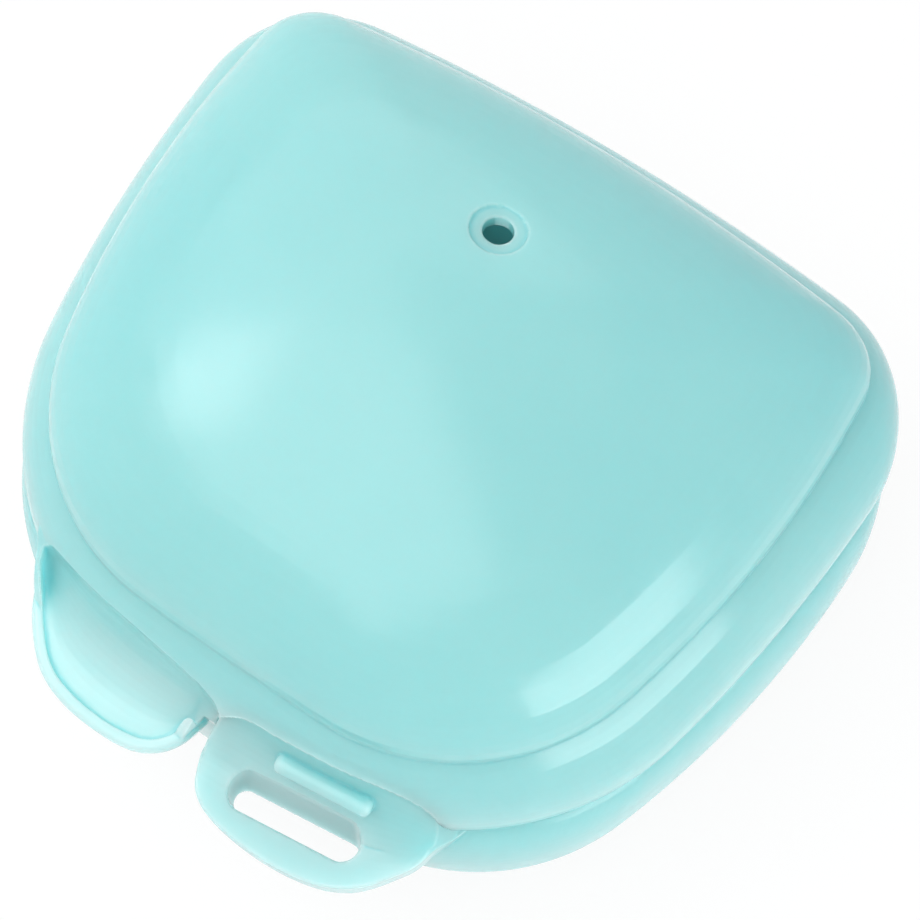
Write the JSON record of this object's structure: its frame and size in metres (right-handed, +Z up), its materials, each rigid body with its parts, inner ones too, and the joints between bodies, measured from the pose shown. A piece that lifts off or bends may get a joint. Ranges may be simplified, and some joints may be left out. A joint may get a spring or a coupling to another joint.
{
  "type": "pacifier sterilizer case",
  "caption": "Hinged moulded case for two soothers with a vented domed lid, finger tab, strap loop and a shallow tub with drain ribs",
  "frame": {"origin": "the centre of the flat underside of the base", "axes": "X across the case along the hinge, Y from the finger tab to the hinge, Z up"},
  "size_m": [0.0976, 0.0913, 0.0536],
  "materials": {
    "base_plastic": "gloss",
    "lid_plastic": "gloss",
    "pin_plastic": "gloss"
  },
  "bodies": {
    "base": {"base_shell": "base_plastic", "hinge_pin": "pin_plastic"},
    "lid": {"lid_shell": "lid_plastic"}
  },
  "joints": [
    {"name": "lid_hinge", "type": "hinge", "parent": "base", "child": "lid", "pos_m": [0, 0.04, 0.0154], "axis": [-1, 0, 0], "range_deg": [0, 100]}
  ]
}
